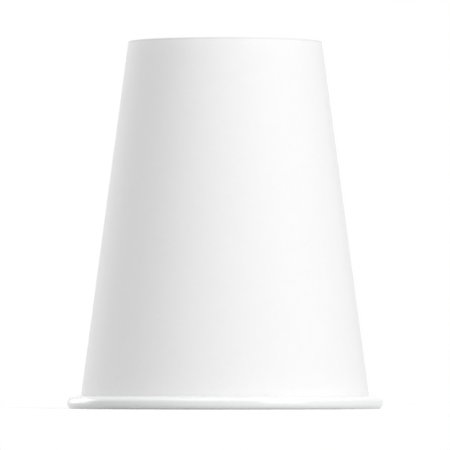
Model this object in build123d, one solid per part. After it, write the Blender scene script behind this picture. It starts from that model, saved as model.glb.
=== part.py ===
from build123d import *
import math
import os

# A paper hot cup, empty and upside down, standing on its rolled rim as it is stacked.
# It is made of two pieces of board. A fan-shaped blank is wrapped into a cone with a lapped
# seam, its wide edge is rolled outwards into a bead, and its narrow edge is folded inwards
# into a hem. The hem clamps the skirt of a round base, which closes the cup a little way in.
# Sizes are in millimetres. The rim stands on Z = 0, +Z runs up to the base, and the seam
# faces +Y.

# Overall
rim_diameter = 79.0
base_diameter = 48.4
cup_height = 92.0

# Board, and the melted film between its sealed faces
wall_board = 0.33
base_board = 0.28
seal_film = 0.02

# Rolled rim. Each bend is the radius on the inner side of the turned board.
bead_reach = 3.05
bead_height = 3.45
bead_shoulder = 2.95
mouth_bend = 1.0
rim_bend = 1.1
shoulder_bend = 1.1
tuck_bend = 0.35
roll_play = 0.06

# Base end
base_recess = 6.5
hem_length = 5.0
fold_bend = 0.04
skirt_bend = 0.3
skirt_play = 0.1

# Side seam
seam_direction = 90.0
seam_lap = 6.5
seam_ramp = 1.0
seam_margin = 0.1
notch_share = 0.8

# A bend is turned in equal creases. Their flats stay within 0.06 of the true arc.
ROLL_CREASES = 3
FOLD_CREASES = 2
# Share of a straight run that one bend may take
BEND_SHARE = 0.49

rim_radius = rim_diameter / 2
base_radius = base_diameter / 2
mouth_radius = rim_radius - bead_reach
half_wall = wall_board / 2
half_base = base_board / 2
taper = math.atan((mouth_radius - base_radius) / cup_height)


def outer_radius(height):
    """Radius of the wall's outside at a height above the rim's plane."""
    return mouth_radius - height * math.tan(taper)


def beside_wall(height, depth):
    """Point at a height and a depth inside the wall's outside, measured square to the wall."""
    return outer_radius(height) - depth / math.cos(taper), height


def creased(corners, bends):
    """The corners, each cut into equal creases whose flats touch the arc of its bend."""
    points = [Vector(*corners[0])]
    for place, (radius, creases) in enumerate(bends, start=1):
        before, corner, after = [Vector(*point) for point in corners[place - 1:place + 2]]
        turn = (corner - before).get_signed_angle(after - corner, Vector(0, 0, 1))
        swing = math.tan(math.radians(abs(turn) / 2))
        room = BEND_SHARE * min((corner - before).length, (after - corner).length)
        radius = min(radius, room / swing)
        along = (corner - before).normalized()
        start = corner - along * radius * swing
        centre = start + along.rotate(Axis.Z, math.copysign(90, turn)) * radius
        first = start + along * radius * math.tan(math.radians(abs(turn) / 2 / creases))
        points += [centre + (first - centre).rotate(Axis.Z, turn * n / creases) for n in range(creases)]
    points.append(Vector(*corners[-1]))
    return points


def bent_board(corners, bends, board):
    """Section of a board whose middle runs through the corners, with square-cut ends.

    Each bend is a pair: the radius on its inner side and how many creases turn it.
    """
    middle_bends = [(inside + board / 2, creases) for inside, creases in bends]
    middle = Polyline(*creased(corners, middle_bends))
    outline = []
    for side in (Side.LEFT, Side.RIGHT):
        outline.append(middle.offset_2d(board / 2, kind=Kind.INTERSECTION, side=side, closed=False))
    for end in (0, 1):
        across = (middle % end).rotate(Axis.Z, 90) * board / 2
        outline.append(Line(middle @ end - across, middle @ end + across))
    return Plane.XZ * make_face(outline)


def rolled_wall():
    """The cone with its folded hem at the base end and its rolled bead at the rim."""
    hem_depth = wall_board + seal_film + base_board + seal_film + half_wall
    roll_depth = -(roll_play + half_wall)
    fold_height = cup_height - half_wall
    tuck_height = wall_board + mouth_bend
    path = {
        "hem edge": beside_wall(cup_height - hem_length, hem_depth),
        "fold inside": beside_wall(fold_height, hem_depth),
        "fold outside": beside_wall(fold_height, half_wall),
        "mouth": beside_wall(half_wall, half_wall),
        "rim": (rim_radius - half_wall, half_wall),
        "shoulder": (rim_radius - half_wall, bead_shoulder - half_wall),
        "crease": beside_wall(bead_height - half_wall, roll_depth),
        "tucked edge": beside_wall(tuck_height, roll_depth),
    }
    bends = [
        (fold_bend, FOLD_CREASES),
        (fold_bend, FOLD_CREASES),
        (mouth_bend, ROLL_CREASES),
        (rim_bend, ROLL_CREASES),
        (shoulder_bend, ROLL_CREASES),
        (tuck_bend, FOLD_CREASES),
    ]
    return revolve(bent_board(list(path.values()), bends, wall_board), Axis.Z)


def seam_point(height, depth, along):
    """Point at a height, a depth inside the wall's outside and a way round from the seam."""
    radius, level = beside_wall(height, depth)
    turn = seam_direction + math.degrees(along / outer_radius(height))
    return Vector(radius, 0, level).rotate(Axis.Z, turn)


def lap_section(height):
    """Level section of the outer ply over the lap: a crisp step, a land and a ramp."""
    fall = seam_ramp / wall_board
    sunk_ramp = seam_lap / 2 + fall * (wall_board + half_wall)
    step_foot = seam_point(height, half_wall, -seam_lap / 2)
    step_top = seam_point(height, -wall_board, -seam_lap / 2)
    land_middle = seam_point(height, -wall_board, 0)
    land_end = seam_point(height, -wall_board, seam_lap / 2)
    ramp_foot = seam_point(height, half_wall, sunk_ramp)
    foot_middle = seam_point(height, half_wall, (sunk_ramp - seam_lap / 2) / 2)
    return make_face([
        Line(step_foot, step_top),
        ThreePointArc(step_top, land_middle, land_end),
        Line(land_end, ramp_foot),
        ThreePointArc(ramp_foot, foot_middle, step_foot),
    ])


def notch_section(height):
    """Level section of the step that the inner ply's edge leaves inside, under the ramp."""
    inside = wall_board + half_wall
    bottom = wall_board * (1 - notch_share)
    step_foot = seam_point(height, inside, seam_lap / 2)
    step_top = seam_point(height, bottom, seam_lap / 2)
    run_out = seam_ramp * (inside - bottom) / (wall_board - bottom)
    ramp_end = seam_point(height, inside, seam_lap / 2 + run_out)
    return make_face(Polyline(step_foot, step_top, ramp_end, close=True))


def sidewall():
    """The whole wrapped blank: rolled wall, outer ply of the lap and the notch inside it."""
    wall = rolled_wall()
    lap_bottom = bead_height + seam_margin
    lap_top = cup_height - wall_board - fold_bend - seam_margin
    notch_top = cup_height - base_recess - base_board - skirt_bend - seam_margin
    lap = loft([lap_section(lap_bottom), lap_section(lap_top)], ruled=True)
    notch = loft([notch_section(lap_bottom), notch_section(notch_top)], ruled=True)
    return wall + lap - notch


def base_disc():
    """The round base, level across the cup, with its skirt turned up into the hem."""
    skirt_depth = wall_board + seal_film + half_base
    disc_height = cup_height - base_recess - half_base
    skirt_top = cup_height - wall_board - skirt_play
    path = [
        beside_wall(skirt_top, skirt_depth),
        beside_wall(disc_height, skirt_depth),
        (0, disc_height),
    ]
    return revolve(bent_board(path, [(skirt_bend, FOLD_CREASES)], base_board), Axis.Z)


nodes = {
    "sidewall": sidewall(),
    "base_disc": base_disc(),
}

os.makedirs("parts", exist_ok=True)
for name, solid in nodes.items():
    export_step(solid, f"parts/{name}.step")
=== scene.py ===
import math

import bmesh
import bpy
import numpy as np
from mathutils import Matrix, Vector


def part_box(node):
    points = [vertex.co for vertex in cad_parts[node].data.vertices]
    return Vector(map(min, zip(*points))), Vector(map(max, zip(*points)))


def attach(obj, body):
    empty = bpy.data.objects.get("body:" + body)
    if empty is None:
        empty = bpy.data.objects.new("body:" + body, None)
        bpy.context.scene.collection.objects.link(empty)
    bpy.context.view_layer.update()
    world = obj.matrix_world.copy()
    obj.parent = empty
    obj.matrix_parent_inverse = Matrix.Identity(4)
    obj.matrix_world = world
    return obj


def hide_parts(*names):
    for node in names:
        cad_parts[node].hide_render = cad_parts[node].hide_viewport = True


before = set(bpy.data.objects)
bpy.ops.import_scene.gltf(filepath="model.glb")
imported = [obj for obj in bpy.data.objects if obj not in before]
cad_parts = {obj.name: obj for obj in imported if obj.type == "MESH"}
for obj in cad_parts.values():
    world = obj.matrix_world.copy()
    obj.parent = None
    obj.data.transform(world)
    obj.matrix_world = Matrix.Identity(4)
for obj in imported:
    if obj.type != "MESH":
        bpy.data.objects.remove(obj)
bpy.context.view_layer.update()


# Sidewall: one fan-shaped blank of white paperboard, wrapped into a cone and heat-sealed along a
# lap at the back. Its wide edge is rolled outwards into the bead of the rim, which shows the filmed
# inner face. Its narrow edge is folded inwards into the knurled hem that grips the base.
wall_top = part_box("sidewall")[1]
cup_height = wall_top.z
rim_radius = wall_top.y
base_radius = 0.0242
wall_board = 0.00033
half_wall = wall_board / 2
base_board = 0.00028
seal_film = 0.00002
bead_reach = 0.00305
bead_height = 0.00345
bead_shoulder = 0.0027
roll_play = 0.00006
tuck_height = 0.00133
mouth_radius = rim_radius - bead_reach
taper = math.atan((mouth_radius - base_radius) / cup_height)

# The seam: how wide the lap and the ramp beside it are, and how far past the lap the board settles
seam_direction = math.radians(90)
seam_lap = 0.0065
seam_ramp = 0.001
seam_settle = 0.004

# The hem: the knurl's ribs fade in above the hem's edge, and out again below the fold
hem_length = 0.005
HEM_RIBS = 96
rib_depth = 0.00012
edge_fade = hem_length / 6
fold_fade = hem_length / 5

# The top fold: how far down from it the board carries painted shade, a thin darker line, and by how
# much
fold_line = 0.0007
fold_shade = 0.11

# Each bend is the radius of the board's middle and the facets that turn it.
FOLD_BEND = (0.0002, 5)
MOUTH_BEND = (0.00117, 8)
RIM_BEND = (0.0011, 10)
SHOULDER_BEND = (0.0010, 10)
TUCK_BEND = (0.0005, 4)
WALL_ROWS = 22
HEM_ROWS = 6
TURN_COLUMNS = 576
RAMP_COLUMNS = 4
LAP_COLUMNS = 20
SHARP_EDGE = math.radians(40)

# The material slots of a board's bare face, filmed face and cut edge
BARE, FILMED, CUT = 0, 1, 2

# Each noise is its features to the metre and its detail. It keeps mostly within the span.
CLOUD_NOISE = (420, 3)
FLECK_NOISE = (2600, 2)
FELT_NOISE = (1500, 4)
NOISE_MIDDLE = 0.5
NOISE_SPAN = (0.3, 0.7)


def outer_radius(height):
    """Radius of the wall's outside at a height above the rim's plane."""
    return mouth_radius - height * math.tan(taper)


def beside_wall(height, depth):
    """Point at a height and a depth inside the wall's outside, measured square to the wall."""
    return outer_radius(height) - depth / math.cos(taper), height


def smooth(share):
    """Eases a share from 0 to 1."""
    share = min(max(share, 0), 1)
    return share * share * (3 - 2 * share)


def wave(count, angle):
    """A wave from 0 to 1 that comes a number of times round the cup."""
    return 0.5 + 0.5 * math.cos(count * angle)


def bent_line(corners, bends):
    """Line through the corners in the XZ plane, with its inner corners turned on their bends."""
    line = bmesh.new()
    points = [line.verts.new((radius, 0, height)) for radius, height in corners]
    for start, end in zip(points, points[1:]):
        line.edges.new((start, end))
    for point, (radius, facets) in zip(points[1:-1], bends):
        before, after = [edge.other_vert(point).co - point.co for edge in point.link_edges]
        cut_back = radius / math.tan(before.angle(after) / 2)
        bmesh.ops.bevel(
            line, geom=[point], affect="VERTICES", offset_type="ABSOLUTE", offset=cut_back,
            segments=facets, profile=0.5, material=-1,
        )
    return line


def two_longest(line):
    """The two longest edges of a line, the longest first."""
    return sorted(line.edges, key=lambda edge: edge.calc_length())[:-3:-1]


def face_board(sheet, towards):
    """Turns all faces of an open sheet the same way, the widest one towards a direction."""
    bmesh.ops.recalc_face_normals(sheet, faces=sheet.faces)
    widest = max(sheet.faces, key=lambda face: face.calc_area())
    if widest.normal.dot(towards(widest.calc_center_median())) < 0:
        bmesh.ops.reverse_faces(sheet, faces=sheet.faces)
    sheet.normal_update()


def give_board(sheet, board):
    """Gives the sheet the thickness of its board, centred on it, and its faces their slots."""
    for point in sheet.verts:
        point.co += point.normal * board / 2
    bare = set(sheet.faces)
    inner = bmesh.ops.solidify(sheet, geom=sheet.faces[:], thickness=board)["geom"]
    filmed = {part for part in inner if isinstance(part, bmesh.types.BMFace)}
    for face in sheet.faces:
        face.smooth = True
        face.material_index = BARE if face in bare else FILMED if face in filmed else CUT
    for edge in sheet.edges:
        edge.smooth = edge.calc_face_angle(0) < SHARP_EDGE


def as_piece(sheet, name, materials):
    """The finished mesh as a piece, with its materials in order."""
    mesh = bpy.data.meshes.new(name)
    sheet.to_mesh(mesh)
    sheet.free()
    for material in materials:
        mesh.materials.append(material)
    piece = bpy.data.objects.new(name, mesh)
    bpy.context.scene.collection.objects.link(piece)
    return piece


def link(tree, source, target):
    """Joins an output to an input, each given as a node and a socket's name or number."""
    tree.links.new(source[0].outputs[source[1]], target[0].inputs[target[1]])


def noise(tree, position, scale, detail):
    """Noise whose features are about one over its scale wide, in metres."""
    texture = tree.nodes.new("ShaderNodeTexNoise")
    texture.inputs["Scale"].default_value = scale
    texture.inputs["Detail"].default_value = detail
    link(tree, position, (texture, "Vector"))
    return texture, "Fac"


def calc(tree, operation, one, other):
    """A Math node. Each operand is a number, or a node and a socket's name."""
    node = tree.nodes.new("ShaderNodeMath")
    node.operation = operation
    for place, operand in enumerate((one, other)):
        if isinstance(operand, tuple):
            link(tree, operand, (node, place))
        else:
            node.inputs[place].default_value = operand
    return node, "Value"


def remap(tree, value, before, after, kind="LINEAR"):
    """A Map Range node, which takes a value from one pair of limits to another."""
    node = tree.nodes.new("ShaderNodeMapRange")
    node.interpolation_type = kind
    for socket, limit in zip(("From Min", "From Max", "To Min", "To Max"), (*before, *after)):
        node.inputs[socket].default_value = limit
    link(tree, value, (node, "Value"))
    return node, "Result"


def paper_group():
    """The make-up of paperboard: cloudy formation, flecks of fibre, and a felted surface.

    Where shade is painted on, as along the top fold, the board is darker by that input's amount.
    """
    group = bpy.data.node_groups.new("paperboard", "ShaderNodeTree")
    inputs = {
        "Position": "NodeSocketVector",
        "Colour": "NodeSocketColor",
        "Cloudiness": "NodeSocketFloat",
        "Flecks": "NodeSocketFloat",
        "Painted Shade": "NodeSocketFloat",
    }
    outputs = {
        "Colour": "NodeSocketColor",
        "Height": "NodeSocketFloat",
        "Clouds": "NodeSocketFloat",
    }
    for name, kind in inputs.items():
        group.interface.new_socket(name, in_out="INPUT", socket_type=kind)
    for name, kind in outputs.items():
        group.interface.new_socket(name, in_out="OUTPUT", socket_type=kind)
    given = group.nodes.new("NodeGroupInput")
    out = group.nodes.new("NodeGroupOutput")
    clouds = noise(group, (given, "Position"), *CLOUD_NOISE)
    flecks = noise(group, (given, "Position"), *FLECK_NOISE)
    felt = noise(group, (given, "Position"), *FELT_NOISE)
    cloudy = calc(group, "SUBTRACT", clouds, NOISE_MIDDLE)
    cloudy = calc(group, "MULTIPLY", cloudy, (given, "Cloudiness"))
    flecked = calc(group, "SUBTRACT", flecks, NOISE_MIDDLE)
    flecked = calc(group, "MULTIPLY", flecked, (given, "Flecks"))
    tone = calc(group, "ADD", calc(group, "ADD", cloudy, flecked), 1)
    # Painted shade: the shade painted along the top fold darkens the tone here.
    tone = calc(group, "SUBTRACT", tone, (given, "Painted Shade"))
    shade = group.nodes.new("ShaderNodeVectorMath")
    shade.operation = "SCALE"
    link(group, (given, "Colour"), (shade, "Vector"))
    link(group, tone, (shade, "Scale"))
    link(group, (shade, "Vector"), (out, "Colour"))
    link(group, felt, (out, "Height"))
    link(group, clouds, (out, "Clouds"))
    return group


paperboard = paper_group()


def board_material(name, colour, cloudiness, flecks, roughness, shine, felt):
    """Paperboard. Roughness is its least and most, and felt is how deep its surface is."""
    material = bpy.data.materials.new(name)
    material.use_nodes = True
    tree = material.node_tree
    shader = tree.nodes["Principled BSDF"]
    shader.inputs["Specular IOR Level"].default_value = shine
    place = tree.nodes.new("ShaderNodeTexCoord")
    paper = tree.nodes.new("ShaderNodeGroup")
    paper.node_tree = paperboard
    paper.inputs["Colour"].default_value = (*colour, 1)
    paper.inputs["Cloudiness"].default_value = cloudiness
    paper.inputs["Flecks"].default_value = flecks
    relief = tree.nodes.new("ShaderNodeBump")
    relief.inputs["Distance"].default_value = felt
    link(tree, (place, "Object"), (paper, "Position"))
    link(tree, (paper, "Colour"), (shader, "Base Color"))
    rough = remap(tree, (paper, "Clouds"), NOISE_SPAN, roughness)
    link(tree, rough, (shader, "Roughness"))
    link(tree, (paper, "Height"), (relief, "Height"))
    link(tree, (relief, "Normal"), (shader, "Normal"))
    return material


bare_board = board_material(
    "bare_board", colour=(0.86, 0.86, 0.86), cloudiness=0.03, flecks=0.02,
    roughness=(0.66, 0.76), shine=0.35, felt=0.00003,
)
filmed_board = board_material(
    "filmed_board", colour=(0.832, 0.834, 0.840), cloudiness=0.02, flecks=0.01,
    roughness=(0.16, 0.20), shine=0.5, felt=0.000005,
)
cut_edge = board_material(
    "cut_edge", colour=(0.82, 0.80, 0.76), cloudiness=0.05, flecks=0.08,
    roughness=(0.8, 0.9), shine=0.3, felt=0.00006,
)

# Painted shade: a thin darker line painted along the top fold, standing in for the shade on its
# rounded top edge.
tree = bare_board.node_tree
spot = tree.nodes.new("ShaderNodeSeparateXYZ")
link(tree, (tree.nodes["Texture Coordinate"], "Object"), (spot, "Vector"))
fold_limits = (cup_height - fold_line, cup_height - fold_line / 2)
painted_fold_shade = remap(tree, (spot, "Z"), fold_limits, (0, fold_shade), "SMOOTHSTEP")
link(tree, painted_fold_shade, (tree.nodes["Group"], "Painted Shade"))

hem_depth = wall_board + seal_film + base_board + seal_film + half_wall
roll_depth = -(roll_play + half_wall)
fold_height = cup_height - half_wall
corners = {
    "hem edge": beside_wall(cup_height - hem_length, hem_depth),
    "fold inside": beside_wall(fold_height, hem_depth),
    "fold outside": beside_wall(fold_height, half_wall),
    "mouth": beside_wall(half_wall, half_wall),
    "rim": (rim_radius - half_wall, half_wall),
    "shoulder": (rim_radius - half_wall, bead_shoulder - half_wall),
    "crease": beside_wall(bead_height - half_wall, roll_depth),
    "tucked edge": beside_wall(tuck_height, roll_depth),
}
bends = [FOLD_BEND, FOLD_BEND, MOUTH_BEND, RIM_BEND, SHOULDER_BEND, TUCK_BEND]
blank = bent_line(list(corners.values()), bends)
wall_edge, hem_edge = two_longest(blank)
bmesh.ops.subdivide_edges(blank, edges=[wall_edge], cuts=WALL_ROWS - 1)
bmesh.ops.subdivide_edges(blank, edges=[hem_edge], cuts=HEM_ROWS - 1)

# The line is spun one column short of a full turn. Each column then goes to its place in the wrap,
# clockwise from the inner ply's edge: once round, up the ramp over that edge, and across the lap.
columns = TURN_COLUMNS + RAMP_COLUMNS + LAP_COLUMNS
column_step = math.tau / (columns + 1)
column_marks = [0, TURN_COLUMNS, TURN_COLUMNS + RAMP_COLUMNS, columns]
bmesh.ops.spin(
    blank, geom=blank.verts[:] + blank.edges[:], cent=(0, 0, 0), axis=(0, 0, -1),
    angle=columns * column_step, steps=columns,
)
face_board(blank, lambda centre: Vector((centre.x, centre.y, 0)))
ply = wall_board + seal_film
wall_square = Vector((math.cos(taper), 0, math.sin(taper)))
for point in blank.verts:
    radius, height = point.co.xy.length, point.co.z
    column = round(-math.atan2(point.co.y, point.co.x) / column_step) % (columns + 1)
    ramp, lap = seam_ramp / radius, seam_lap / radius
    wrap = np.interp(column, column_marks, [0, math.tau - ramp, math.tau, math.tau + lap])
    rise = smooth(np.interp(column, column_marks[1:3], [0, 1]))
    doubled = max(rise, 1 - smooth((wrap * radius - seam_lap) / seam_settle))
    angle = seam_direction + lap / 2 - wrap
    normal = Matrix.Rotation(column * column_step, 3, "Z") @ point.normal
    place = Vector((radius, 0, height)) + normal * ply * rise
    beyond_wall = (radius - outer_radius(height)) * math.cos(taper)
    if beyond_wall > 0 and height > tuck_height - roll_play:
        lift = 1 - smooth((beyond_wall - roll_play) / bead_reach)
        place += wall_square * ply * doubled * lift
    if height > cup_height - wall_board:
        place.z -= ply * doubled * max(normal.z, 0)
    if -beyond_wall > hem_depth - half_wall:
        above_edge = height - (cup_height - hem_length)
        knurl = smooth(above_edge / edge_fade) * smooth((hem_length - above_edge) / fold_fade)
        place += normal * rib_depth * knurl * wave(HEM_RIBS, angle)
    point.co = Matrix.Rotation(angle, 3, "Z") @ place
blank.normal_update()
give_board(blank, wall_board)
rolled_sidewall = as_piece(blank, "rolled_sidewall", [bare_board, filmed_board, cut_edge])
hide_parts("sidewall")
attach(rolled_sidewall, "root")


# Base: a round of thinner board, filmed on the side that holds the drink. Its edge is drawn into
# a skirt, which gathers into fine crimps, and the skirt is sealed between the wall and the hem.
base_recess = 0.0065
skirt_play = 0.0004
base_dish = 0.00012
CRIMPS = 120
crimp_depth = 0.00003
crimp_rise = 0.0015
crimp_width = base_radius / 6
SKIRT_BEND = (0.00044, 6)
BASE_COLUMNS = 480
BASE_ROWS = 10
MERGE_DISTANCE = 0.000001

skirt_depth = wall_board + seal_film + base_board / 2
disc_height = cup_height - base_recess - base_board / 2
corners = {
    "skirt edge": beside_wall(cup_height - wall_board - skirt_play, skirt_depth),
    "skirt foot": beside_wall(disc_height, skirt_depth),
    "centre": (0, disc_height),
}
disc = bent_line(list(corners.values()), [SKIRT_BEND])
disc_edge, skirt_edge = two_longest(disc)
bmesh.ops.subdivide_edges(disc, edges=[disc_edge], cuts=BASE_ROWS - 1)
bmesh.ops.subdivide_edges(disc, edges=[skirt_edge], cuts=BASE_ROWS - 1)
bmesh.ops.spin(
    disc, geom=disc.verts[:] + disc.edges[:], cent=(0, 0, 0), axis=(0, 0, 1),
    angle=math.tau, steps=BASE_COLUMNS, use_merge=True,
)
bmesh.ops.remove_doubles(disc, verts=disc.verts, dist=MERGE_DISTANCE)
face_board(disc, lambda centre: Vector((-centre.x, -centre.y, centre.z)))
for point in disc.verts:
    radius, height = point.co.xy.length, point.co.z
    angle = math.atan2(point.co.y, point.co.x)
    near_bend = smooth(1 - abs(height - disc_height) / crimp_rise)
    near_bend *= smooth(1 + (radius - base_radius) / crimp_width)
    point.co.z -= base_dish * smooth(1 - radius / base_radius)
    point.co += point.normal * crimp_depth * near_bend * wave(CRIMPS, angle)
disc.normal_update()
give_board(disc, base_board)
clamped_base = as_piece(disc, "clamped_base", [bare_board, filmed_board, cut_edge])
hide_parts("base_disc")
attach(clamped_base, "root")


# Floor: a plain pale table. It is seen as white, keeps the cup's shadow near the cup, and can be
# looked through from below. Under the cup's mouth, where nothing else sees it, it gives the white
# light that the inside needs when it is seen from below.
floor_half = 4.0
floor_tone = 0.62
floor_seen_tone = 0.99
floor_roughness = 0.9
shadow_reach = 0.06
white_reach = 0.20
covered_radius = mouth_radius - 2 * wall_board


def largest(tree, first, *others):
    """The largest of some values."""
    for other in others:
        first = calc(tree, "MAXIMUM", first, other)
    return first


def mixed(tree, share, one, other):
    """One shader, with a share of the other in its place."""
    node = tree.nodes.new("ShaderNodeMixShader")
    link(tree, share, (node, "Fac"))
    link(tree, one, (node, 1))
    link(tree, other, (node, 2))
    return node, "Shader"


floor_material = bpy.data.materials.new("floor_white")
floor_material.use_nodes = True
tree = floor_material.node_tree
surface = tree.nodes["Principled BSDF"]
surface.inputs["Roughness"].default_value = floor_roughness
surface.inputs["Specular IOR Level"].default_value = 0
glow = tree.nodes.new("ShaderNodeEmission")
clear = tree.nodes.new("ShaderNodeBsdfTransparent")
rays = tree.nodes.new("ShaderNodeLightPath")
side = tree.nodes.new("ShaderNodeNewGeometry")
where = tree.nodes.new("ShaderNodeTexCoord")
away = tree.nodes.new("ShaderNodeVectorMath")
away.operation = "LENGTH"
link(tree, (where, "Object"), (away, "Vector"))
tone = remap(tree, (rays, "Is Camera Ray"), (0, 1), (floor_tone, floor_seen_tone))
link(tree, tone, (surface, "Base Color"))

# For the camera alone, it turns to plain white between the two reaches.
far_off = remap(tree, (away, "Value"), (shadow_reach, white_reach), (0, 1), "SMOOTHSTEP")
far_white = calc(tree, "MULTIPLY", (rays, "Is Camera Ray"), far_off)
covered = calc(tree, "LESS_THAN", (away, "Value"), covered_radius)
white_share = largest(tree, far_white, (rays, "Is Glossy Ray"), covered)
lit = mixed(tree, white_share, (surface, "BSDF"), (glow, "Emission"))
one_way = mixed(tree, (side, "Backfacing"), lit, (clear, "BSDF"))
link(tree, one_way, (tree.nodes["Material Output"], "Surface"))
ground = bmesh.new()
bmesh.ops.create_grid(ground, x_segments=1, y_segments=1, size=floor_half)
floor = as_piece(ground, "floor", [floor_material])


# Studio: white all round where it is seen, soft grey where it lights. Three large soft boxes stand
# round the cup: the main one to the right of the camera, one overhead, and one behind on the left,
# which gives the rolled rim its bright end.
ambient = 0.468
seen_level = 1.0
lamp_distance = 1.6
cup_middle = Vector((0, 0, cup_height / 2))

world = bpy.data.worlds.new("studio")
bpy.context.scene.world = world
world.use_nodes = True
sky = world.node_tree
backdrop = sky.nodes["Background"]
backdrop.inputs["Color"].default_value = (1, 1, 1, 1)
rays = sky.nodes.new("ShaderNodeLightPath")
seen = [(rays, f"Is {kind} Ray") for kind in ("Camera", "Glossy", "Transmission")]
level = remap(sky, largest(sky, *seen), (0, 1), (ambient, seen_level))
link(sky, level, (backdrop, "Strength"))


def aim_at_cup(thing, place):
    """Stands a lamp or the camera at a place, looking at the middle of the cup."""
    thing.location = place
    thing.rotation_mode = "QUATERNION"
    thing.rotation_quaternion = (cup_middle - place).to_track_quat("-Z", "Y")
    bpy.context.scene.collection.objects.link(thing)


def soft_box(name, azimuth, elevation, size, power):
    """A square area lamp aimed at the cup. Azimuth is to the right of the camera, in degrees."""
    lamp = bpy.data.lights.new(name, "AREA")
    lamp.size = size
    lamp.energy = power
    holder = bpy.data.objects.new(name, lamp)
    holder.visible_camera = False
    turn, tilt = math.radians(azimuth), math.radians(elevation)
    level_out = Vector((math.sin(turn), -math.cos(turn), 0))
    out = level_out * math.cos(tilt) + Vector((0, 0, math.sin(tilt)))
    aim_at_cup(holder, cup_middle + out * lamp_distance)


soft_box("main_box", azimuth=45, elevation=15, size=1.0, power=12.3)
soft_box("overhead_box", azimuth=0, elevation=80, size=1.6, power=15.0)
soft_box("back_box", azimuth=-135, elevation=10, size=1.05, power=9.6)


# Camera: a little above the level of the rim, as far away as in the photograph, with the cup
# centred. From so far off, with a long lens, both ends of the cup are seen almost edge-on.
camera_distance = 1.73
camera_height = 0.009
lens = 553.0
sensor = 36.0
clip_near = 0.05
clip_far = 20.0
camera = bpy.data.objects.new("camera", bpy.data.cameras.new("camera"))
camera.data.lens = lens
camera.data.sensor_width = sensor
camera.data.clip_start = clip_near
camera.data.clip_end = clip_far
aim_at_cup(camera, Vector((0, -camera_distance, camera_height)))
bpy.context.scene.camera = camera
bpy.context.scene.view_settings.view_transform = "Standard"
